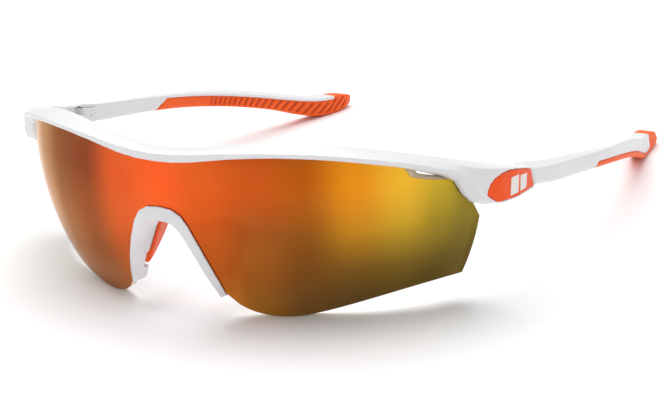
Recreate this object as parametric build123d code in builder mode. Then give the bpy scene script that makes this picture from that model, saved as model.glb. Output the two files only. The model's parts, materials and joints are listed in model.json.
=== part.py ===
from build123d import *
import os
from math import cos, radians, sin, sqrt

# Wraparound sport sunglasses, in millimetres.
# Modelled about the centre of the lens sphere: +X to the wearer's left, +Y back along the
# temples, +Z up. The finished set is then moved so that it rests on Z = 0, centred in X and Y.

# --- lens -----------------------------------------------------------------------------------
lens_radius = 66.5          # outer face of a base-8 spherical shield
lens_thickness = 2.0
lens_bottom = -32.6         # lowest point of each lobe
seat_clearance = 0.05       # between the lens and the grooves that hold it
drawn_radius = 66.5         # the outlines below are drawn for this sphere and widen with the lens
widening = lens_radius / drawn_radius

# --- brow frame -----------------------------------------------------------------------------
rear_wall = 1.5             # brow behind the lens
brow_rear_radius = lens_radius - lens_thickness - rear_wall

# --- badge ----------------------------------------------------------------------------------
badge_depth = 0.9           # pocket depth in the end piece
badge_proud = 0.15          # how far the badge stands out of its pocket
badge_gap = 0.08
mark_depth = 0.35           # the white mark is let into the badge by this much
mark_proud = 0.15

# --- hinge ----------------------------------------------------------------------------------
hinge_angle = 81.6          # plan angle of the pin from the front
hinge_radius = brow_rear_radius - 0.12
pin_x = hinge_radius * sin(radians(hinge_angle))
pin_y = -hinge_radius * cos(radians(hinge_angle))
pin_z = -6.3
hinge_tilt = 12.0           # the pin leans back, square to the drooping temple
seam_gap = 0.3              # between end piece and temple, when open
knuckle_radius = 1.45
knuckle_gap = 0.06          # between neighbouring knuckles, along the pin
centre_knuckle = (-0.44, 0.84)
stack = (-1.7, 2.1)         # lowest and highest point of the knuckles along the pin
barrel_clearance = 0.3      # radial room round the knuckles in the plastic
screw_radius = 0.7
screw_clearance = 0.05
screw_head_radius = 1.1
screw_head_height = 0.5
leaf_thickness = 1.0
leaf_length = 7.5
leaf_offset = 0.65          # the leaf lies this far outside the pin, flush with the plastic
leaf_clearance = 0.05
recess_opening = 4.0        # the leaf's recess is open this far towards the head
rivet_radius = 0.5
rivet_clearance = 0.03
rivet_head_radius = 0.85
rivet_head_height = 0.25
rivet_depth = 1.6           # how far the rivet goes into the plastic
rivet_places = (3.3, 6.1)   # from the pin

# --- temple ---------------------------------------------------------------------------------
grip_skin = 1.3             # rubber thickness on the inner face
grip_strip = 1.5            # height of the rubber strip along the lower edge
grip_cap = 0.9              # white left above the rubber on the inner face
temple_length = 116.5       # from the pin to the tip
grip_start = 0.306          # where the rubber starts on the lower edge, as a share of the length
core_end = 0.921            # where the white arm ends inside the rubber tip, as a share of the length

# --- nose -----------------------------------------------------------------------------------
bridge_rim = 1.4            # how far the rim's ridge stands in front of the lens
rim_edge = 0.55             # thickness of the rim's outer edge on the lens
bridge_wall = 1.5           # thickness of the bridge at its rear edge
bridge_behind = 1.2         # plastic behind the lens edge
pad_thickness = 2.6
pad_height = 13.2
pad_length = 9.4
tongue_thickness = 1.0
tongue_length = 4.5
tongue_height = 7.0
tongue_clearance = 0.05


def radial_plane(angle, shift):
    """Vertical plane whose local x points out at this angle from the front; shift moves it along X."""
    turn = radians(angle)
    outward = (sin(turn), -cos(turn), 0)
    return Plane(origin=(shift, 0, 0), x_dir=outward, z_dir=(-cos(turn), -sin(turn), 0))


def across(y):
    """Plane square to Y at this y; local x is X and local y is Z."""
    return Plane.XZ.offset(-y)


def widened(points):
    """An outline's points with their first coordinate grown with the lens sphere."""
    return [(first * widening, second) for first, second in points]


def mirrored(source):
    """The same piece for the wearer's right side."""
    with BuildPart() as copy:
        mirror(source.part, about=Plane.YZ)
    return copy


# --- lens outline, seen from the front (x, z), left half ------------------------------------
lens_top = widened(((0, 7.7), (9.5, 8.3), (19, 9.5), (27.7, 9.9), (36, 9.3), (43.7, 7.6), (50.2, 5.3)))
nose_edge = ((0, -6.1), (4.0, -6.7), (6.3, -9.6), (9.0, -15.9), (11.1, -21.6), (11.9, -25.0))
lobe_edge = widened(((15.1, -29.3), (18.5, -31.5), (25.5, lens_bottom), (33.5, -31.1), (45.0, -27.9),
                     (54.0, -26.3)))
lobe_corner = (66.0 * widening, -26.0)
vent_edge = widened(((50.9, 3.4), (51.8, 1.4), (53.8, 0.4), (58.6, -1.2), (66.0, -3.2)))

# the lens ends at the temples on this line, seen from the side (y, z)
temporal_edge = widened(((-24.9, -40.0), (-24.8, -11.7), (-27.1, -8.1), (-29.4, -2.6), (-30.6, 2.0),
                         (-30.6, 20.0)))
clear_front = (-80.0 * widening, 20.0)
clear_foot = (-80.0 * widening, -40.0)


def lens_shape(grow):
    """Spherical shell cut to the lens outline; grow thickens it and lengthens its hidden edges."""
    top = [(x, z + grow) for x, z in lens_top]
    nose = [(x - grow, z - grow) for x, z in nose_edge]
    nose[0] = (0, nose[0][1])
    with BuildPart() as shape:
        Sphere(lens_radius + grow)
        Sphere(lens_radius - lens_thickness - grow, mode=Mode.SUBTRACT)
        with BuildSketch(Plane.XZ):
            with BuildLine():
                Spline(*nose)
                Line(nose[-1], lobe_edge[0])
                Spline(*lobe_edge)
                Line(lobe_edge[-1], lobe_corner)
                Line(lobe_corner, vent_edge[-1])
                Polyline(*reversed(vent_edge))
                Line(vent_edge[0], top[-1])
                Spline(*reversed(top))
                Line(top[0], nose[0])
            make_face()
            mirror(about=Plane.YZ)
        extrude(amount=lens_radius + 10, mode=Mode.INTERSECT)
        with BuildSketch(Plane.YZ):
            with BuildLine():
                Polyline(*[(y + grow * 2, z) for y, z in temporal_edge], clear_front, clear_foot,
                         close=True)
            make_face()
        extrude(amount=90 * widening, both=True, mode=Mode.INTERSECT)
    return shape


shield_lens = lens_shape(0)
lens_pocket = lens_shape(seat_clearance)


# --- brow frame: one section per angle from the front ---------------------------------------
# angle, lip (out, z), crease (out, z), shoulder (out, z), top z, heel z; out is measured from
# the lens's outer face
brow_stations = (
    (0, (1.5, 6.3), (2.1, 8.3), (-0.3, 8.65), 8.6, 5.2),
    (4, (1.5, 6.45), (2.1, 8.45), (-0.3, 8.8), 8.75, 5.35),
    (8, (1.5, 6.9), (2.1, 8.9), (-0.3, 9.25), 9.2, 5.8),
    (12, (1.5, 7.6), (2.1, 9.3), (-0.3, 9.75), 9.8, 6.4),
    (16, (1.5, 8.2), (2.1, 9.6), (-0.3, 10.2), 10.4, 7.0),
    (20, (1.5, 8.5), (2.1, 9.7), (-0.3, 10.5), 10.85, 7.3),
    (24, (1.5, 8.6), (2.1, 9.7), (-0.3, 10.6), 11.1, 7.4),
    (28, (1.5, 8.45), (2.1, 9.55), (-0.3, 10.5), 11.1, 7.25),
    (32, (1.5, 8.1), (2.1, 9.2), (-0.3, 10.2), 10.8, 6.9),
    (36, (1.5, 7.5), (2.1, 8.6), (-0.3, 9.6), 10.15, 6.3),
    (40, (1.5, 6.7), (2.1, 7.8), (-0.3, 8.8), 9.2, 5.5),
    (44, (1.5, 5.75), (2.1, 6.9), (-0.2, 7.9), 8.25, 4.55),
    (48, (1.5, 4.7), (2.2, 5.9), (-0.1, 6.9), 7.2, 3.5),
    (54, (1.5, 2.6), (2.6, 3.9), (0.3, 5.2), 5.6, 1.3),
    (58, (1.5, 1.0), (3.0, 2.4), (0.9, 4.0), 4.3, -0.4),
    (60.5, (1.5, -0.9), (3.4, 1.4), (1.6, 3.2), 3.4, -2.6),
    (62.5, (1.5, -4.8), (3.9, -0.6), (2.4, 2.4), 2.7, -5.6),
    (64.5, (1.5, -7.2), (4.4, -4.0), (2.9, 1.6), 2.0, -7.5),
    (67, (1.7, -8.2), (4.7, -6.9), (3.1, 0.8), 1.2, -8.3),
    (70, (2.1, -8.6), (4.6, -7.9), (3.0, 0.0), 0.1, -8.6),
    (75, (1.3, -8.8), (3.6, -8.2), (2.4, -1.4), -1.6, -8.7),
    (78, (0.8, -8.8), (2.7, -8.3), (1.8, -2.5), -2.4, -8.7),
    (81, (0.4, -8.9), (2.0, -8.4), (1.2, -3.4), -3.2, -8.7),
    (84, (0.1, -9.1), (1.5, -8.6), (0.8, -4.3), -4.0, -8.9),
)


def brow_loft(shift):
    """Left half of the brow with its end piece, before any cut, moved outward by shift."""
    with BuildPart() as blank:
        for angle, lip, crease, shoulder, top_z, heel_z in brow_stations:
            with BuildSketch(radial_plane(angle, shift)):
                front_edge = [(lens_radius + out, z) for out, z in (lip, crease, shoulder)]
                with BuildLine():
                    Polyline(*front_edge, (brow_rear_radius, top_z), (brow_rear_radius, heel_z), close=True)
                make_face()
        loft(ruled=True)
    return blank


# --- hinge: its own plane stands on the pin, local y runs back along the temple ---------------
lean = radians(hinge_tilt)
hinge_point = (pin_x, pin_y, pin_z)
hinge_plane = Plane(origin=hinge_point, x_dir=(1, 0, 0), z_dir=(0, sin(lean), cos(lean)))
leaf_plane = Plane(origin=(pin_x + leaf_offset, pin_y, pin_z), x_dir=(0, cos(lean), -sin(lean)),
                   z_dir=(-1, 0, 0))
leaf_middle = (stack[0] + stack[1]) / 2
leaf_height = stack[1] - stack[0]
barrel_room = knuckle_radius + barrel_clearance
screw_foot = stack[0] - screw_head_height


def hinge_leaf(side, knuckles, free_knuckles):
    """A leaf plate with its knuckles; side is -1 for the end piece and 1 for the temple."""
    with BuildPart() as leaf:
        with BuildSketch(hinge_plane.offset(stack[0])):
            with Locations((leaf_offset, side * leaf_length / 2)):
                Rectangle(leaf_thickness, leaf_length)
        extrude(amount=leaf_height)
        for low, high in knuckles:
            with BuildSketch(hinge_plane.offset(low)):
                Circle(knuckle_radius)
            extrude(amount=high - low)
        for low, high in free_knuckles:
            with BuildSketch(hinge_plane.offset(low)):
                Circle(knuckle_radius + barrel_clearance / 2)
            extrude(amount=high - low, mode=Mode.SUBTRACT)
        with BuildSketch(hinge_plane.offset(stack[0])):
            Circle(screw_radius + screw_clearance)
        extrude(amount=leaf_height, mode=Mode.SUBTRACT)
        with BuildSketch(leaf_plane.offset(-leaf_thickness)):
            with Locations(*[(side * place, -leaf_middle) for place in rivet_places]):
                Circle(rivet_radius + rivet_clearance)
        extrude(amount=2 * leaf_thickness, mode=Mode.SUBTRACT)
    return leaf


outer_knuckles = ((stack[0], centre_knuckle[0] - knuckle_gap), (centre_knuckle[1] + knuckle_gap, stack[1]))
gap_for_centre = ((centre_knuckle[0] - knuckle_gap, centre_knuckle[1] + knuckle_gap),)
gaps_for_outer = ((stack[0], centre_knuckle[0]), (centre_knuckle[1], stack[1]))
front_hinge_left = hinge_leaf(-1, outer_knuckles, gap_for_centre)
temple_hinge_left = hinge_leaf(1, (centre_knuckle,), gaps_for_outer)

with BuildPart() as hinge_screw_left:
    with BuildSketch(hinge_plane.offset(screw_foot)):
        Circle(screw_head_radius)
    extrude(amount=screw_head_height)
    with BuildSketch(hinge_plane.offset(stack[0])):
        Circle(screw_radius)
    extrude(amount=leaf_height - 0.1)
    with BuildSketch(hinge_plane.offset(screw_foot)):
        Rectangle(2 * screw_head_radius, 0.3)
    extrude(amount=0.25, mode=Mode.SUBTRACT)


def rivets(side):
    """Two domed rivets that go through a leaf into the plastic behind it."""
    with BuildPart() as pair:
        with BuildSketch(leaf_plane.offset(-leaf_thickness / 2 - rivet_depth)):
            with Locations(*[(side * place, -leaf_middle) for place in rivet_places]):
                Circle(rivet_radius)
        extrude(amount=leaf_thickness + rivet_depth)
        with BuildSketch(leaf_plane.offset(leaf_thickness / 2)):
            with Locations(*[(side * place, -leaf_middle) for place in rivet_places]):
                Circle(rivet_head_radius)
        extrude(amount=rivet_head_height, taper=30)
    return pair


front_hinge_rivets_left = rivets(-1)
temple_hinge_rivets_left = rivets(1)


def hinge_room(side):
    """What one half of the hinge takes out of the plastic: recess, barrel room, rivet holes."""
    with BuildPart() as room:
        with BuildSketch(hinge_plane.offset(stack[0] - leaf_clearance)):
            with Locations((leaf_offset - recess_opening / 2, side * (leaf_length + leaf_clearance) / 2)):
                Rectangle(leaf_thickness + recess_opening, leaf_length + leaf_clearance)
        extrude(amount=leaf_height + 2 * leaf_clearance)
        with BuildSketch(hinge_plane.offset(screw_foot - 2.0)):
            Circle(barrel_room)
        extrude(amount=stack[1] - screw_foot + 2.0 + 3 * leaf_clearance)
        with BuildSketch(leaf_plane.offset(-leaf_thickness / 2 - rivet_depth - leaf_clearance)):
            with Locations(*[(side * place, -leaf_middle) for place in rivet_places]):
                Circle(rivet_radius + rivet_clearance)
        extrude(amount=rivet_depth + leaf_thickness)
    return room


front_hinge_room = hinge_room(-1)
temple_hinge_room = hinge_room(1)

# --- badge ----------------------------------------------------------------------------------
# outline seen from the side (y, z): front tip, over the top to the rear edge, back below
badge_top = widened(((-28.9, -5.1), (-26.4, -2.5), (-22.8, -1.5), (-10.6, -3.8)))
badge_bottom = widened(((-10.5, -7.8), (-19.4, -7.7), (-26.4, -7.2)))
mark_bars = (((-21.9, -6.9), (-18.9, -6.9), (-17.3, -3.1), (-20.3, -3.1)),
             ((-17.9, -6.9), (-14.9, -6.9), (-13.3, -3.9), (-16.5, -3.6)))


def drawn_in(points, gap):
    """The outline's points moved in towards its middle, by gap at its widest."""
    ys = [y for y, z in badge_top + badge_bottom]
    zs = [z for y, z in badge_top + badge_bottom]
    middle = ((min(ys) + max(ys)) / 2, (min(zs) + max(zs)) / 2)
    shares = (1 - 2 * gap / (max(ys) - min(ys)), 1 - 2 * gap / (max(zs) - min(zs)))
    return [tuple(m + (c - m) * share for c, m, share in zip(point, middle, shares)) for point in points]


def badge_prism(gap):
    """The badge outline as a long bar across the end piece."""
    top = drawn_in(badge_top, gap)
    bottom = drawn_in(badge_bottom, gap)
    with BuildPart() as prism:
        with BuildSketch(Plane.YZ.offset(brow_rear_radius + 1)):
            with BuildLine():
                Spline(*top)
                Polyline(top[-1], *bottom, top[0])
            make_face()
        extrude(amount=12)
    return prism


with BuildPart() as badge_pocket:
    add(badge_prism(0))
    add(brow_loft(-badge_depth).part, mode=Mode.SUBTRACT)

with BuildPart() as mark_prism:
    with BuildSketch(Plane.YZ.offset(brow_rear_radius + 1)):
        for bar in mark_bars:
            with BuildLine():
                Polyline(*widened(bar), close=True)
            make_face()
    extrude(amount=12)

with BuildPart() as badge_mark_left:
    add(mark_prism.part)
    add(brow_loft(badge_proud + mark_proud).part, mode=Mode.INTERSECT)
    add(brow_loft(badge_proud - mark_depth).part, mode=Mode.SUBTRACT)

with BuildPart() as badge_left:
    add(badge_prism(badge_gap))
    add(brow_loft(badge_proud).part, mode=Mode.INTERSECT)
    add(brow_loft(-badge_depth).part, mode=Mode.SUBTRACT)
    add(badge_mark_left.part, mode=Mode.SUBTRACT)

with BuildPart() as seam_cut:
    with BuildSketch(hinge_plane.offset(-9)):
        with Locations((0, 8 - seam_gap)):
            Rectangle(24, 16)
    extrude(amount=18)

with BuildPart() as brow_half:
    add(brow_loft(0).part)
    for cutter in (lens_pocket, badge_pocket, seam_cut, front_hinge_room):
        add(cutter.part, mode=Mode.SUBTRACT)

with BuildPart() as brow_frame:
    add(brow_half.part)
    mirror(about=Plane.YZ)

# --- temple: one section per share of its length --------------------------------------------
# share, then measured from the pin: outer x, inner x, bottom z, crease z (outer top edge),
# top z (inner top edge)
temple_stations = (
    (-0.033, 5.5, 0.1, -1.9, 3.0, 3.5),
    (0.079, 5.4, 0.5, -3.9, 0.3, 1.0),
    (0.165, 5.2, 0.8, -5.7, -1.5, -1.0),
    (0.251, 5.0, 0.9, -7.3, -3.2, -2.9),
    (0.336, 4.7, 0.8, -9.0, -4.9, -4.9),
    (0.422, 3.9, 0.1, -10.9, -6.7, -6.9),
    (0.508, 2.5, -1.3, -13.1, -8.6, -9.1),
    (0.594, 0.5, -3.4, -15.6, -10.8, -11.6),
    (0.68, -1.9, -6.0, -18.5, -13.5, -14.4),
    (0.766, -4.9, -9.3, -21.9, -16.5, -17.4),
    (0.852, -7.8, -12.7, -25.5, -19.5, -20.1),
    (0.921, -9.6, -14.8, -26.4, -21.0, -21.1),
    (0.972, -10.5, -15.4, -26.1, -22.1, -22.1),
    (1, -11.4, -14.8, -25.3, -23.3, -23.2),
)
edge_chamfer = 0.6


def arm_section(share):
    """Where the section stands, and its edges in place: y, outer x, inner x, bottom, crease and top z."""
    for station in temple_stations:
        if station[0] == share:
            outer, inner, bottom, crease_z, top_z = station[1:]
            return (pin_y + share * temple_length, pin_x + outer, pin_x + inner, pin_z + bottom,
                    pin_z + crease_z, pin_z + top_z)


with BuildPart() as arm_blank:
    for station in temple_stations:
        y, outer, inner, bottom, crease_z, top_z = arm_section(station[0])
        with BuildSketch(across(y)):
            with BuildLine():
                Polyline((outer - edge_chamfer, bottom), (outer, bottom + edge_chamfer),
                         (outer - edge_chamfer, crease_z), (inner, top_z), (inner, bottom + edge_chamfer),
                         (inner + edge_chamfer, bottom), close=True)
            make_face()
    loft()

# the white arm's shape inside the rubber: a core with a cap over the rubber's upper edge
core_reach = 4.0            # how far the core's tool stands outside the arm
with BuildPart() as white_core:
    for station in temple_stations:
        if station[0] <= core_end:
            y, outer, inner, bottom, crease_z, top_z = arm_section(station[0])
            skin = inner + grip_skin
            with BuildSketch(across(y)):
                with BuildLine():
                    Polyline((outer + core_reach, bottom + grip_strip),
                             (outer + core_reach, top_z + core_reach),
                             (inner - core_reach, top_z + core_reach),
                             (inner - core_reach, top_z - grip_cap), (skin, top_z - grip_cap),
                             (skin, bottom + grip_strip), close=True)
                make_face()
    loft()

# seen from the side, the rubber starts on a slanted line that runs up and back
grip_foot = pin_y + grip_start * temple_length
slant_run = 20.0
slant_low = (grip_foot - 5, pin_z - 10.7)
slant_high = (grip_foot - 5 + slant_run, pin_z - 3.1)
beyond_tip = pin_y + temple_length + 15
with BuildPart() as grip_zone:
    with BuildSketch(Plane.YZ.offset(pin_x - 22)):
        with BuildLine():
            Polyline(slant_low, slant_high, (beyond_tip, slant_high[1]), (beyond_tip, pin_z - 34),
                     (slant_low[0], pin_z - 34), close=True)
        make_face()
    extrude(amount=40)
    add(white_core.part, mode=Mode.SUBTRACT)

with BuildPart() as arm_front_cut:
    with BuildSketch(hinge_plane.offset(-9)):
        with Locations((0, -8)):
            Rectangle(24, 16)
    extrude(amount=18)

with BuildPart() as temple_left:
    add(arm_blank.part)
    for cutter in (grip_zone, arm_front_cut, temple_hinge_room):
        add(cutter.part, mode=Mode.SUBTRACT)

with BuildPart() as temple_grip_left:
    add(arm_blank.part)
    add(grip_zone.part, mode=Mode.INTERSECT)

# --- nose bridge: sections along the left half of the arch ------------------------------------
# outer edge (x, z), direction towards the nose (degrees below the wearer's right), rim width,
# depth, and how far the rear edge is set towards the nose
bridge_stations = (
    ((0, -4.9), 90, 3.1, 5.0, 1.3),
    ((3.2, -5.2), 83, 3.1, 5.5, 1.2),
    ((5.6, -6.6), 56, 2.8, 7.0, 0.6),
    ((7.3, -9.2), 30, 2.3, 9.0, -0.1),
    ((9.3, -14.0), 22, 1.9, 10.5, -0.5),
    ((11.1, -19.2), 20, 1.8, 10.0, -0.6),
    ((12.3, -23.4), 17, 1.5, 7.5, -0.1),
    ((13.0, -26.8), 15, 1.0, 5.2, 0.4),
)


def bridge_section(place, droop, rim, depth, inset, side):
    """Plane across the arch, and the section's corners on it: local x towards the nose, y to the rear."""
    turn = radians(droop)
    x, z = place
    inward = (-side * cos(turn), 0, -sin(turn))
    plane = Plane(origin=(side * x, 0, z), x_dir=inward, z_dir=(side * sin(turn), 0, -cos(turn)))
    tip_x = x - rim * cos(turn)
    tip_z = z - rim * sin(turn)
    front = sqrt(lens_radius**2 - x**2 - z**2)
    ridge = sqrt((lens_radius + bridge_rim) ** 2 - tip_x**2 - tip_z**2)
    back = 1 if plane.y_dir.Y > 0 else -1
    behind = front - lens_thickness - bridge_behind
    corners = ((0, -back * (front + rim_edge)), (rim, -back * ridge), (rim + inset, -back * (ridge - depth)),
               (rim + inset - bridge_wall, -back * (ridge - depth)), (0, -back * behind))
    return plane, corners


with BuildPart() as nose_bridge_blank:
    arch = [(-1, station) for station in reversed(bridge_stations[1:])]
    arch += [(1, station) for station in bridge_stations]
    for side, station in arch:
        plane, corners = bridge_section(*station, side)
        with BuildSketch(plane):
            with BuildLine():
                Polyline(*corners, close=True)
            make_face()
    loft(ruled=True)

# --- nose pads: their own plane stands where the pad meets the bridge leg ----------------------
pad_origin = Vector(9.0, 9.5 - lens_radius, -16.6)
pad_back = Vector(sin(radians(16)), cos(radians(16)), 0)
pad_up = Vector(-0.33, 0.05, 0.94)
pad_plane = Plane(origin=pad_origin, x_dir=pad_back, z_dir=pad_back.cross(pad_up))

with BuildPart() as tongue_left:
    with BuildSketch(pad_plane.offset(-tongue_thickness / 2)):
        with Locations(((tongue_length - 2.0) / 2, 0)):
            Rectangle(tongue_length + 2.0, tongue_height)
    extrude(amount=tongue_thickness)

with BuildPart() as tongue_slot:
    with BuildSketch(pad_plane.offset(-tongue_thickness / 2 - tongue_clearance)):
        with Locations(((tongue_length - 2.0) / 2, 0)):
            Rectangle(tongue_length + 2.0 + 2 * tongue_clearance, tongue_height + 2 * tongue_clearance)
    extrude(amount=tongue_thickness + 2 * tongue_clearance)

with BuildPart() as pad_cut:
    with BuildSketch(pad_plane.offset(-4.5)):
        with Locations((8, -0.5)):
            Rectangle(16, pad_height + 1.6)
    extrude(amount=9)

with BuildPart() as nose_pad_left:
    with BuildSketch(pad_plane.offset(-pad_thickness / 2)):
        with BuildLine():
            Line((0.05, -pad_height / 2), (0.05, pad_height / 2))
            Spline((0.05, pad_height / 2), (pad_length * 0.6, pad_height * 0.46),
                   (pad_length, pad_height * 0.2), (pad_length * 0.75, -pad_height * 0.22),
                   (0.05, -pad_height / 2))
        make_face()
    extrude(amount=pad_thickness)
    fillet(nose_pad_left.faces().sort_by(Axis.X)[0].edges(), 0.7)
    add(tongue_slot.part, mode=Mode.SUBTRACT)

with BuildPart() as nose_bridge:
    add(nose_bridge_blank.part)
    add(lens_pocket.part, mode=Mode.SUBTRACT)
    add(pad_cut.part, mode=Mode.SUBTRACT)
    add(mirrored(pad_cut).part, mode=Mode.SUBTRACT)
    add(tongue_left.part)
    add(mirrored(tongue_left).part)

# --- collect, move onto the ground plane and write --------------------------------------------
pieces = {
    "brow_frame": brow_frame,
    "shield_lens": shield_lens,
    "nose_bridge": nose_bridge,
}
left_pieces = {
    "nose_pad": nose_pad_left,
    "badge": badge_left,
    "badge_mark": badge_mark_left,
    "front_hinge": front_hinge_left,
    "front_hinge_rivets": front_hinge_rivets_left,
    "temple_hinge": temple_hinge_left,
    "temple_hinge_rivets": temple_hinge_rivets_left,
    "hinge_screw": hinge_screw_left,
    "temple": temple_left,
    "temple_grip": temple_grip_left,
}
for name, piece in left_pieces.items():
    pieces[name + "_left"] = piece
    pieces[name + "_right"] = mirrored(piece)

boxes = [piece.part.bounding_box() for piece in pieces.values()]
front_y = min(box.min.Y for box in boxes)
rear_y = max(box.max.Y for box in boxes)
ground_z = min(box.min.Z for box in boxes)
seat = Location((0, -(front_y + rear_y) / 2, -ground_z))

os.makedirs("parts", exist_ok=True)
for name, piece in pieces.items():
    piece.part.label = name
    piece.part.move(seat)
    export_step(piece.part, f"parts/{name}.step")
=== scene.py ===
# %% [markdown]
# # Wraparound sport sunglasses
# A one-piece mirrored shield hangs in a white brow frame, two white temples fold on pinned
# hinges, and orange rubber covers the inner side of each temple and the nose pads.
# The moving frame comes ready made from the CAD model. This script gives it its looks, in metres.

# %% load the frame
import json
import math

import bmesh
import bpy
import numpy as np
from mathutils import Matrix, Vector


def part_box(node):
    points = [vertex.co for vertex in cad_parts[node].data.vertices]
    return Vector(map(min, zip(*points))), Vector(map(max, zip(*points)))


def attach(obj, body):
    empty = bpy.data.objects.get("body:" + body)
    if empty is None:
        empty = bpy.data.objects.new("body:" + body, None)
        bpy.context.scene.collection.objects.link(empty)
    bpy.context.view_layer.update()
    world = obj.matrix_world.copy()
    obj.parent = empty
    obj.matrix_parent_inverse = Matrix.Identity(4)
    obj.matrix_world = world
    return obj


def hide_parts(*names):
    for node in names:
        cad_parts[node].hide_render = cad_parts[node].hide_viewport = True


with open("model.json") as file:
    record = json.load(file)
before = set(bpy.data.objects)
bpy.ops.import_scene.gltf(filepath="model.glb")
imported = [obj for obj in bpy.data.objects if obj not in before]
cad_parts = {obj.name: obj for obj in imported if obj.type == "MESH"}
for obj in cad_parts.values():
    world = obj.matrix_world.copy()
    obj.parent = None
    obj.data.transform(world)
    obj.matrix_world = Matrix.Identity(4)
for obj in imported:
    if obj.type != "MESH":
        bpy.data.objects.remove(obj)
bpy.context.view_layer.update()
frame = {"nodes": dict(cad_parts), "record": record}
mm = 0.001
scene = bpy.context.scene
scene.view_settings.view_transform = "Standard"

# %% [markdown]
# The shield is a piece of a sphere, and everything else was laid out round its centre. Two of the
# lens's own design sizes, its radius and the drop from the centre to its lowest point, find that
# centre again from the box of the lens.

# %% the centre of the lens sphere
lens_radius = 66.5 * mm
lens_thickness = 2.0 * mm
lens_drop = 32.6 * mm
lens_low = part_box("shield_lens")[0]
sphere_centre = Vector((0, lens_low.y + lens_radius, lens_low.z + lens_drop))
print("lens sphere centre, mm:", [round(c / mm, 2) for c in sphere_centre])

# %% [markdown]
# A long lens keeps the glasses from looking stretched, as in a shop catalogue. The camera stands
# to the wearer's front left, a little above, and is rolled slightly.
# Its axes are worked out from the three angles, which keeps the roll separate from the aim.

# %% camera
camera_azimuth = math.radians(29.99)
camera_elevation = math.radians(18.30)
camera_roll = math.radians(-1.977)
camera_distance = 0.598
aim_from_centre = Vector((9.53, -2.70, -21.51)) * mm
aim = sphere_centre + aim_from_centre
back = Vector((math.sin(camera_azimuth) * math.cos(camera_elevation),
               -math.cos(camera_azimuth) * math.cos(camera_elevation),
               math.sin(camera_elevation)))
level = Vector((math.cos(camera_azimuth), math.sin(camera_azimuth), 0))
right = level * math.cos(camera_roll) + back.cross(level) * math.sin(camera_roll)
up = back.cross(right)
eye = aim + back * camera_distance
camera_data = bpy.data.cameras.new("catalogue_camera")
camera_data.lens = 128.96
camera_data.sensor_width = 36.0
camera_data.clip_start = 0.01
camera = bpy.data.objects.new("catalogue_camera", camera_data)
scene.collection.objects.link(camera)
camera.matrix_world = Matrix((right, up, back)).transposed().to_4x4()
camera.matrix_world.translation = eye
scene.camera = camera
print("camera at", [round(c, 3) for c in eye])

# %% [markdown]
# Every finish below is a node material, so a few short helpers save repeating the same lines.
# Colours are written as the 0-255 numbers of a paint chart and turned into light values here.

# %% helpers for finishes


def light_value(channel):
    """One 0-255 channel of a paint chart as linear light."""
    if channel > 10:
        return ((channel / 255 + 0.055) / 1.055) ** 2.4
    return channel / 255 / 12.92


def paint(red, green, blue):
    """A 0-255 colour as the linear light values that the shader wants."""
    return (light_value(red), light_value(green), light_value(blue), 1.0)


def new_finish(name):
    """An empty material with its Principled shader, ready for nodes."""
    finish = bpy.data.materials.new(name)
    finish.use_nodes = True
    return finish, finish.node_tree, finish.node_tree.nodes["Principled BSDF"]


def add_node(tree, kind, **settings):
    """A new node with its settings; a setting named in_X goes to the input called X."""
    node = tree.nodes.new(kind)
    for key, value in settings.items():
        if key.startswith("in_"):
            node.inputs[key[3:]].default_value = value
        else:
            setattr(node, key, value)
    return node


def fine_noise(tree, scale, detail, stretch=(1, 1, 1)):
    """Noise in the part's own coordinates; scale is in grains per metre."""
    place = add_node(tree, "ShaderNodeTexCoord")
    squeeze = add_node(tree, "ShaderNodeMapping")
    squeeze.inputs["Scale"].default_value = stretch
    noise = add_node(tree, "ShaderNodeTexNoise", in_Scale=scale, in_Detail=detail)
    tree.links.new(place.outputs["Object"], squeeze.inputs["Vector"])
    tree.links.new(squeeze.outputs["Vector"], noise.inputs["Vector"])
    return noise.outputs["Fac"]


def spread(tree, source, low, high, start=0.3, end=0.7):
    """Low where the source is at start, high where it is at end, and an even climb between."""
    node = add_node(tree, "ShaderNodeMapRange")
    for socket, value in (("From Min", start), ("From Max", end),
                          ("To Min", low), ("To Max", high)):
        node.inputs[socket].default_value = value
    tree.links.new(source, node.inputs["Value"])
    return node.outputs["Result"]


def tint(tree, factor, first, second):
    """A colour that goes from first to second as factor goes from 0 to 1."""
    mix = add_node(tree, "ShaderNodeMix", data_type="RGBA")
    tree.links.new(factor, mix.inputs[0])
    for socket, colour in ((6, first), (7, second)):
        if isinstance(colour, tuple):
            mix.inputs[socket].default_value = colour
        else:
            tree.links.new(colour, mix.inputs[socket])
    return mix.outputs[2]


def roughen(tree, shader, height, distance, strength):
    """Bump of this depth in metres under the shader."""
    bump = add_node(tree, "ShaderNodeBump", in_Strength=strength, in_Distance=distance)
    tree.links.new(height, bump.inputs["Height"])
    tree.links.new(bump.outputs["Normal"], shader.inputs["Normal"])


# %% [markdown]
# The frame is injection-moulded nylon with a satin white lacquer. Real lacquer is never one even
# white: it pools a little, picks up faint greying from handling, and has a fine orange-peel skin.
# Two sizes of noise give those, and a thin coat carries the sharper highlight.

# %% satin white lacquer


def satin_white(name, white, shade):
    """Lacquered nylon: faint greying, uneven gloss, orange-peel skin."""
    finish, tree, shader = new_finish(name)
    handling = fine_noise(tree, scale=60, detail=4)
    skin = fine_noise(tree, scale=2600, detail=3)
    greyed = spread(tree, handling, 0.0, 1.0)
    tree.links.new(tint(tree, greyed, white, shade), shader.inputs["Base Color"])
    tree.links.new(spread(tree, handling, 0.30, 0.42), shader.inputs["Roughness"])
    roughen(tree, shader, skin, distance=0.02 * mm, strength=0.35)
    shader.inputs["Coat Weight"].default_value = 0.25
    shader.inputs["Coat Roughness"].default_value = 0.18
    shader.inputs["IOR"].default_value = 1.50
    return finish


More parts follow.
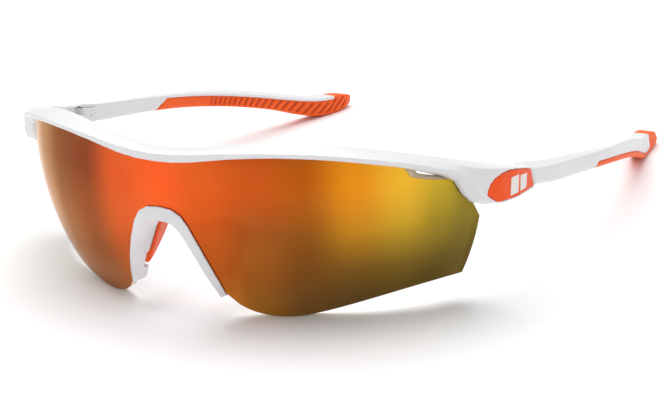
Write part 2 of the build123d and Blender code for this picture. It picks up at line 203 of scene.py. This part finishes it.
white_lacquer = paint(230, 230, 232)
lacquer = satin_white("satin_white_lacquer", white_lacquer, paint(224, 224, 227))
mark_paint = satin_white("white_mark_paint", paint(240, 236, 230), paint(232, 228, 222))

# %% [markdown]
# The shield is polycarbonate with a vacuum-deposited mirror on its outer face. Thin-film mirrors
# change colour with the film's thickness, and the base colour carries that together with a painted
# reflection of the studio: it runs from pale gold at the wearer's right, through brown and a hot
# orange centre, to yellow and olive at the left, and darkens downward. The light and dark bands
# and the darkening downward are painted reflection.
# The colour is laid out by angle round the sphere and by height, which stays put in every view.
# Each row gives the colour of film and painted reflection at an angle, in degrees from the middle
# of the lens.

# %% mirror colours with painted reflection, by angle round the lens, at four heights
row_top = (
    (-55, (196, 184, 128)), (-47, (226, 212, 150)), (-40, (162, 132, 84)), (-30, (118, 66, 42)),
    (-20, (122, 46, 26)), (-10, (218, 78, 32)), (0, (244, 84, 30)), (10, (215, 70, 10)),
    (20, (192, 70, 8)), (30, (176, 82, 6)), (40, (224, 136, 14)), (50, (228, 174, 38)),
    (58, (186, 160, 36)), (64, (132, 120, 36)))
row_upper = (
    (-55, (236, 226, 170)), (-47, (226, 212, 156)), (-40, (180, 150, 98)), (-30, (140, 90, 58)),
    (-20, (140, 62, 36)), (-10, (214, 84, 36)), (0, (232, 82, 28)), (10, (196, 68, 6)),
    (20, (146, 60, 10)), (30, (134, 70, 8)), (40, (186, 126, 22)), (50, (188, 150, 34)),
    (58, (142, 124, 28)), (64, (118, 108, 34)))
row_lower = (
    (-55, (206, 184, 124)), (-40, (194, 168, 116)), (-30, (166, 116, 76)), (-20, (160, 90, 54)),
    (-10, (204, 92, 44)), (10, (190, 76, 8)), (20, (166, 84, 14)), (30, (122, 68, 14)),
    (40, (124, 88, 22)), (50, (122, 100, 28)), (64, (80, 76, 28)))
row_foot = (
    (-45, (192, 168, 118)), (-30, (188, 146, 106)), (-20, (196, 140, 96)), (-8, (206, 128, 66)),
    (10, (206, 122, 32)), (20, (186, 124, 38)), (30, (114, 80, 32)), (40, (72, 56, 36)),
    (50, (80, 68, 26)), (64, (72, 66, 28)))
first_angle, last_angle = -60, 70


def film_and_reflection_row(tree, across_lens, stops):
    """One height of the mirror: a ramp of film colour and painted reflection from temple to
    temple.
    """
    ramp = add_node(tree, "ShaderNodeValToRGB")
    ramp.color_ramp.interpolation = "EASE"
    band = ramp.color_ramp.elements
    while len(band) < len(stops):
        band.new(1.0)
    for element, (angle, colour) in zip(band, stops):
        element.position = (angle - first_angle) / (last_angle - first_angle)
        element.color = paint(*colour)
    tree.links.new(across_lens, ramp.inputs["Fac"])
    return ramp.outputs["Color"]


# %% [markdown]
# The colour of film and painted reflection needs two places on the lens: the angle round the
# sphere's upright axis, and the height from its centre. The foot row is the ground, and each
# higher row fades in over it between two heights. A faint golden cloud breaks up the rows, as
# uneven film does.

# %% mirror film with painted reflection
row_fades = ((row_lower, -30 * mm, -21 * mm), (row_upper, -20 * mm, -10 * mm),
             (row_top, -10 * mm, 0 * mm))
cloud_gold = paint(255, 190, 90)
cloud_share = 0.10


def lens_angle(tree, axes):
    """0 to 1 from the first angle of the rows to the last."""
    forward = add_node(tree, "ShaderNodeMath", operation="MULTIPLY")
    forward.inputs[1].default_value = -1.0
    tree.links.new(axes.outputs["Y"], forward.inputs[0])
    angle = add_node(tree, "ShaderNodeMath", operation="ARCTAN2")
    tree.links.new(axes.outputs["X"], angle.inputs[0])
    tree.links.new(forward.outputs[0], angle.inputs[1])
    return spread(tree, angle.outputs[0], 0.0, 1.0,
                  math.radians(first_angle), math.radians(last_angle))


def film_and_reflection_colour(tree, from_centre):
    """The mirror's colour at each place on the lens: film colour with painted reflection."""
    axes = add_node(tree, "ShaderNodeSeparateXYZ")
    tree.links.new(from_centre, axes.inputs["Vector"])
    across_lens = lens_angle(tree, axes)
    colour = film_and_reflection_row(tree, across_lens, row_foot)
    for stops, low, high in row_fades:
        height = spread(tree, axes.outputs["Z"], 0.0, 1.0, low, high)
        colour = tint(tree, height, colour, film_and_reflection_row(tree, across_lens, stops))
    cloud = fine_noise(tree, scale=38, detail=2)
    return tint(tree, spread(tree, cloud, 0.0, cloud_share), colour, cloud_gold)


# %% [markdown]
# Only the outer face carries the mirror. The inner face is bare tinted plastic, so the back of the
# lens reads dark brown and a little of what stands behind the lens shows through from the front.
# The cut edge between them is paler, because the saw leaves it frosted.
# The distance from the sphere's centre tells the three apart.

# %% mirror shield finish
skin_start, skin_end = 0.05 * mm, 0.15 * mm
inner_radius = lens_radius - lens_thickness
frosted_edge = paint(222, 206, 176)
bare_plastic = paint(140, 104, 76)
mirror_metal_share = 0.88
warm_glance = (0.85, 0.58, 0.48, 1.0)
polycarbonate_ior = 1.58


def mirror_shield():
    """Outer face: part metal, part see-through film. Inner face: brown tinted plastic."""
    finish, tree, shader = new_finish("fire_mirror_shield")
    place = add_node(tree, "ShaderNodeTexCoord")
    from_centre = add_node(tree, "ShaderNodeVectorMath", operation="SUBTRACT")
    from_centre.inputs[1].default_value = sphere_centre
    tree.links.new(place.outputs["Object"], from_centre.inputs[0])
    # Base colour: the film's own colour with a painted reflection of the studio.
    colour = film_and_reflection_colour(tree, from_centre.outputs["Vector"])
    radius = add_node(tree, "ShaderNodeVectorMath", operation="LENGTH")
    tree.links.new(from_centre.outputs["Vector"], radius.inputs[0])
    outer = spread(tree, radius.outputs["Value"], 0.0, 1.0,
                   lens_radius - skin_end, lens_radius - skin_start)
    inner = spread(tree, radius.outputs["Value"], 1.0, 0.0,
                   inner_radius + skin_start, inner_radius + skin_end)
    behind_film = tint(tree, inner, frosted_edge, bare_plastic)
    tree.links.new(tint(tree, outer, behind_film, colour), shader.inputs["Base Color"])
    tree.links.new(spread(tree, outer, 0.0, mirror_metal_share, 0.0, 1.0),
                   shader.inputs["Metallic"])
    wipe = fine_noise(tree, scale=420, detail=5, stretch=(1.0, 1.0, 0.25))
    tree.links.new(spread(tree, wipe, 0.10, 0.17), shader.inputs["Roughness"])
    clear = add_node(tree, "ShaderNodeMath", operation="MAXIMUM")
    tree.links.new(outer, clear.inputs[0])
    tree.links.new(inner, clear.inputs[1])
    tree.links.new(clear.outputs[0], shader.inputs["Transmission Weight"])
    shader.inputs["Specular Tint"].default_value = warm_glance
    shader.inputs["IOR"].default_value = polycarbonate_ior
    return finish


shield_finish = mirror_shield()

# %% [markdown]
# The grips and nose pads are soft rubber that bites on damp skin. It is matt, slightly grainy, and
# a shade darker in patches where sweat and dust sit in it. Its grooves get a painted shade. A
# little light goes into it, which keeps the orange warm in its own shadow.

# %% orange rubber
# Painted shade for the bottom of the grooves.
painted_groove_shade = paint(196, 66, 18)
light_depth = (1.2 * mm, 0.5 * mm, 0.2 * mm)


def soft_rubber(name, bright, dull, grain_scale):
    """Matt rubber; its grooves, where the mesh has them, get a painted shade."""
    finish, tree, shader = new_finish(name)
    dust = fine_noise(tree, scale=90, detail=4)
    grain = fine_noise(tree, scale=grain_scale, detail=3)
    groove = add_node(tree, "ShaderNodeAttribute", attribute_name="groove")
    even = tint(tree, spread(tree, dust, 0.0, 1.0), bright, dull)
    # The grooves get a painted shade from the mesh's groove amount.
    groove_shaded = tint(tree, groove.outputs["Fac"], even, painted_groove_shade)
    tree.links.new(groove_shaded, shader.inputs["Base Color"])
    tree.links.new(spread(tree, grain, 0.46, 0.60), shader.inputs["Roughness"])
    roughen(tree, shader, grain, distance=0.03 * mm, strength=0.5)
    shader.inputs["Specular IOR Level"].default_value = 0.3
    shader.inputs["Subsurface Weight"].default_value = 0.15
    shader.inputs["Subsurface Radius"].default_value = light_depth
    shader.inputs["Subsurface Scale"].default_value = 1.0
    return finish


grip_finish = soft_rubber("orange_grip_rubber", paint(252, 98, 14), paint(244, 90, 10), 3200)
pad_finish = soft_rubber("orange_pad_rubber", paint(244, 90, 22), paint(234, 82, 16), 4200)

# %% [markdown]
# The badges are hard orange inserts, pressed into the end pieces. They are glossier than the
# rubber, with hairline scratches along the temple from being put down on tables.

# %% badge insert finish
along_arm = (1.0, 0.06, 1.0)


def badge_plastic():
    """Glossy orange plastic with faint scratches that run along the arm."""
    finish, tree, shader = new_finish("orange_badge_plastic")
    scratch = fine_noise(tree, scale=900, detail=6, stretch=along_arm)
    pool = fine_noise(tree, scale=120, detail=2)
    orange = tint(tree, spread(tree, pool, 0.0, 1.0), paint(252, 86, 10), paint(246, 81, 7))
    tree.links.new(orange, shader.inputs["Base Color"])
    tree.links.new(spread(tree, scratch, 0.24, 0.40), shader.inputs["Roughness"])
    roughen(tree, shader, scratch, distance=0.01 * mm, strength=0.3)
    shader.inputs["Specular IOR Level"].default_value = 0.3
    return finish


badge_finish = badge_plastic()

# %% [markdown]
# The hinge leaves and their rivets are steel, sprayed with the same white as the frame after they
# are fitted, so they vanish into the arm. A sprayed coat over metal is thinner and harder than the
# nylon's: it is glossier, and the brushed grain of the steel still shows in it.
# Only the hinge screw goes in afterwards, and stays bare turned steel. The grain is drawn out
# along the leaf, along the rivet and down the screw.

# %% hinge metals


def hinge_metal(name, light, dark, grain, gloss, metal_share):
    """Brushed steel, bare or sprayed: a drawn-out grain in colour, gloss and bump."""
    finish, tree, shader = new_finish(name)
    streak = fine_noise(tree, scale=5200, detail=5, stretch=grain)
    tree.links.new(tint(tree, spread(tree, streak, 0.0, 1.0), light, dark),
                   shader.inputs["Base Color"])
    tree.links.new(spread(tree, streak, *gloss), shader.inputs["Roughness"])
    roughen(tree, shader, streak, distance=0.01 * mm, strength=0.4)
    shader.inputs["Metallic"].default_value = metal_share
    return finish


spray_shade = paint(218, 219, 222)
spray_gloss = (0.22, 0.36)
screw_steel = hinge_metal("turned_screw_steel", paint(198, 199, 203), paint(168, 170, 176),
                          grain=(1, 1, 0.1), gloss=(0.20, 0.36), metal_share=1.0)
sprayed_leaf = hinge_metal("sprayed_hinge_leaf", white_lacquer, spray_shade,
                           grain=(1, 0.08, 1), gloss=spray_gloss, metal_share=0.1)
sprayed_rivet = hinge_metal("sprayed_rivet", white_lacquer, spray_shade,
                            grain=(0.1, 1, 1), gloss=spray_gloss, metal_share=0.1)

# %% [markdown]
# The lens, badges and hinge parts have the right shape already, so they keep their meshes and only
# receive these finishes in their material slots.

# %% finishes on the parts that stay
kept_finishes = {"shield_lens": shield_finish}
for side in ("left", "right"):
    kept_finishes["badge_" + side] = badge_finish
    kept_finishes["badge_mark_" + side] = mark_paint
    kept_finishes["front_hinge_" + side] = sprayed_leaf
    kept_finishes["temple_hinge_" + side] = sprayed_leaf
    kept_finishes["front_hinge_rivets_" + side] = sprayed_rivet
    kept_finishes["temple_hinge_rivets_" + side] = sprayed_rivet
    kept_finishes["hinge_screw_" + side] = screw_steel
for node, finish in kept_finishes.items():
    slots = frame["nodes"][node].data.materials
    slots.clear()
    slots.append(finish)
print("parts kept with new finishes:", len(kept_finishes))

# %% [markdown]
# The white mouldings have crisp computed edges in the CAD model. A mould never gives those: every
# edge comes out with a small radius that catches the light. Rebuilding the part's skin from small
# even cells and easing it gives the radius everywhere, and keeps the part's size to within about
# a tenth of a millimetre. The bridge's rims are thin, so it gets finer cells and more easing.

# %% moulded copies
record = frame["record"]
body_of_node = {node: body for body, nodes in record["behaviour"]["bodies"].items()
                for node in nodes}
weld_distance = 0.001 * mm
frame_cell, frame_easing = 0.28 * mm, 4
bridge_cell, bridge_easing = 0.16 * mm, 12


def moulded_copy(node, name, cell, easing):
    """A new piece in the shape of a CAD node, with eased edges, riding on the same body."""
    skin = frame["nodes"][node].data.copy()
    skin.name = name
    shell = bmesh.new()
    shell.from_mesh(skin)
    bmesh.ops.remove_doubles(shell, verts=shell.verts, dist=weld_distance)
    shell.to_mesh(skin)
    shell.free()
    piece = bpy.data.objects.new(name, skin)
    scene.collection.objects.link(piece)
    rebuild = piece.modifiers.new("even skin", "REMESH")
    rebuild.mode = "VOXEL"
    rebuild.voxel_size = cell
    ease = piece.modifiers.new("eased edges", "SMOOTH")
    ease.factor = 0.5
    ease.iterations = easing
    evaluated = piece.evaluated_get(bpy.context.evaluated_depsgraph_get())
    piece.data = bpy.data.meshes.new_from_object(evaluated)
    piece.modifiers.clear()
    piece.data.shade_smooth()
    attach(piece, body_of_node[node])
    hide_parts(node)
    return piece


def dress(piece, finish):
    """Gives a piece its one finish."""
    piece.data.materials.clear()
    piece.data.materials.append(finish)
    print(piece.name, "faces:", len(piece.data.polygons))


dress(moulded_copy("brow_frame", "brow_moulding", frame_cell, frame_easing), lacquer)
dress(moulded_copy("nose_bridge", "bridge_moulding", bridge_cell, bridge_easing),
      lacquer)
for side in ("left", "right"):
    arm = moulded_copy("temple_" + side, "temple_moulding_" + side, frame_cell, frame_easing)
    dress(arm, lacquer)

# %% [markdown]
# The grooves follow the grip's inner face, whose lower and upper edge wander along the arm. They
# are found again from the mesh: for each millimetre, the lowest and highest point that looks
# inward, taken over a short stretch so that no gap in the cells shows.

# %% the inner face of a grip
looks_inward = 0.7
edge_reach, wide_reach = 1.5 * mm, 3 * mm


def inner_edges(points, normals, side_sign):
    """Lower and upper edge of the inner face, as heights for each millimetre along the arm."""
    bins = np.arange(points[:, 1].min(), points[:, 1].max(), mm)
    faces_in = -normals[:, 0] * side_sign > looks_inward
    low, high = [], []
    for start in bins:
        apart = np.abs(points[:, 1] - start)
        near = faces_in & (apart < edge_reach)
        heights = points[near, 2] if near.any() else points[apart < wide_reach, 2]
        low.append(heights.min())
        high.append(heights.max())
    return bins, np.array(low), np.array(high)


def skin_arrays(mesh):
    """The places and normals of a mesh's points, one row for each."""
    points = np.empty(len(mesh.vertices) * 3)
    normals = np.empty(len(mesh.vertices) * 3)
    mesh.vertices.foreach_get("co", points)
    mesh.vertices.foreach_get("normal", normals)
    return points.reshape(-1, 3), normals.reshape(-1, 3)


def fade(value, width):
    """0 below zero, 1 above width, and an even climb between."""
    return np.clip(value / width, 0, 1)


# %% [markdown]
# The rubber on the inner face has slanted grooves that start fine and steep and open out toward
# the tip. They are pressed into the mesh itself, so they catch light from any side. The groove
# spacing grows evenly along the arm, and each groove leans further back than the one before it.
# They stop short of the edges, the tip and every part of the skin that turns away from the head.

# %% ribbed grips
grip_cell, grip_easing = 0.22 * mm, 5
rib_depth = 0.38 * mm
first_spacing = 1.7 * mm
spacing_growth = 0.032
first_lean, last_lean = 0.35, 1.5
plain_share = 0.29
land_level, wall_rise = 0.45, 0.45
least_half_height = 0.5 * mm
groove_reach, reach_fade = 0.80, 0.14
start_fade = 1.2 * mm
tip_margin, tip_fade = 2.2 * mm, 1.5 * mm
least_inward, inward_fade = 0.55, 0.3


def press_grooves(piece, side_sign):
    """Sinks the slanted grooves into the inner face and remembers where they are."""
    mesh = piece.data
    points, normals = skin_arrays(mesh)
    bins, low, high = inner_edges(points, normals, side_sign)
    tip = bins[-1]
    along = points[:, 1]
    floor = np.interp(along, bins, low)
    ceiling = np.interp(along, bins, high)
    half = np.maximum((ceiling - floor) / 2, least_half_height)
    off_middle = points[:, 2] - (floor + ceiling) / 2
    start = bins[0] + plain_share * (tip - bins[0])
    lean = first_lean + (last_lean - first_lean) * fade(along - start, tip - start)
    travel = np.maximum(along - start - lean * off_middle, 0)
    phase = np.log1p(spacing_growth * travel / first_spacing) / spacing_growth
    wave = 0.5 - 0.5 * np.cos(2 * np.pi * phase)
    groove = fade(wave - land_level, wall_rise)
    groove = groove * groove * (3 - 2 * groove)
    room = fade(groove_reach - np.abs(off_middle) / half, reach_fade)
    ends = fade(travel, start_fade) * fade(tip - tip_margin - along, tip_fade)
    facing = fade(-normals[:, 0] * side_sign - least_inward, inward_fade)
    amount = groove * room * ends * facing
    points[:, 0] += amount * rib_depth * side_sign
    mesh.vertices.foreach_set("co", points.ravel())
    # The groove amount is kept on the mesh; the rubber finish paints shade into the grooves from
    # it.
    layer = mesh.attributes.new("groove", "FLOAT", "POINT")
    layer.data.foreach_set("value", amount.astype(np.float32))
    mesh.update()
    print(piece.name, "groove share of the skin:", round(float((amount > 0.5).mean()), 3))


for side, side_sign in (("left", 1), ("right", -1)):
    grip = moulded_copy("temple_grip_" + side, "ribbed_grip_" + side, grip_cell, grip_easing)
    press_grooves(grip, side_sign)
    dress(grip, grip_finish)

# %% [markdown]
# The nose pads are small soft cushions, clipped on the bridge's legs. Rubber this soft is moulded
# with round rims, so the pad's skin is eased further than that of the hard parts. Nothing is
# added to its thickness. A pad like this is nearly solid.

# %% soft nose pads
pad_cell, pad_easing = 0.22 * mm, 12
for side in ("left", "right"):
    pad = moulded_copy("nose_pad_" + side, "soft_nose_pad_" + side, pad_cell, pad_easing)
    dress(pad, pad_finish)

# %% [markdown]
# Catalogue light is broad and even: a white room, one big soft box overhead and a weaker one from
# the camera's side. The walls are a little darker near the floor, which shapes the white parts.

# %% studio light
room_strength = 0.59
low_wall, low_wall_end = (0.80, 0.80, 0.81, 1), 0.0
high_wall, high_wall_start = (1.0, 1.0, 1.0, 1), 0.75
world = bpy.data.worlds.new("white_studio")
world.use_nodes = True
scene.world = world
room_tree = world.node_tree
direction = add_node(room_tree, "ShaderNodeTexCoord")
split = add_node(room_tree, "ShaderNodeSeparateXYZ")
room_tree.links.new(direction.outputs["Generated"], split.inputs["Vector"])
walls = add_node(room_tree, "ShaderNodeValToRGB")
for element, place, colour in zip(walls.color_ramp.elements,
                                  (low_wall_end, high_wall_start), (low_wall, high_wall)):
    element.position = place
    element.color = colour
backdrop = room_tree.nodes["Background"]
room_tree.links.new(split.outputs["Z"], walls.inputs["Fac"])
room_tree.links.new(walls.outputs["Color"], backdrop.inputs["Color"])
backdrop.inputs["Strength"].default_value = room_strength


def soft_box(name, place, width, watts):
    """A square area light that points at the lens."""
    data = bpy.data.lights.new(name, "AREA")
    data.size = width
    data.energy = watts
    lamp = bpy.data.objects.new(name, data)
    lamp.location = place
    lamp.rotation_euler = (sphere_centre - Vector(place)).to_track_quat("-Z", "Y").to_euler()
    scene.collection.objects.link(lamp)


soft_box("overhead_box", (-0.25, 0.15, 1.1), width=1.2, watts=13.0)
soft_box("front_box", (0.7, -1.1, 0.7), width=1.0, watts=2.0)
print("soft boxes aimed at the lens, room strength", room_strength)

# %% [markdown]
# The floor is matt paper laid flat, with the faint mottling that keeps a white sheet from looking
# like an empty page.

# %% paper floor
floor_reach = 4.0
floor_squares = 24
floor_mesh = bpy.data.meshes.new("paper_floor")
sheet = bmesh.new()
bmesh.ops.create_grid(sheet, x_segments=floor_squares, y_segments=floor_squares, size=floor_reach)
sheet.to_mesh(floor_mesh)
sheet.free()
floor_piece = bpy.data.objects.new("paper_floor", floor_mesh)
scene.collection.objects.link(floor_piece)
paper, paper_tree, paper_shader = new_finish("white_paper")
mottle = fine_noise(paper_tree, scale=14, detail=5)
paper_white = tint(paper_tree, spread(paper_tree, mottle, 0.0, 1.0),
                   paint(246, 246, 246), paint(243, 243, 244))
paper_tree.links.new(paper_white, paper_shader.inputs["Base Color"])
paper_tree.links.new(spread(paper_tree, mottle, 0.75, 0.9), paper_shader.inputs["Roughness"])
paper_shader.inputs["Specular IOR Level"].default_value = 0.2
floor_mesh.materials.append(paper)
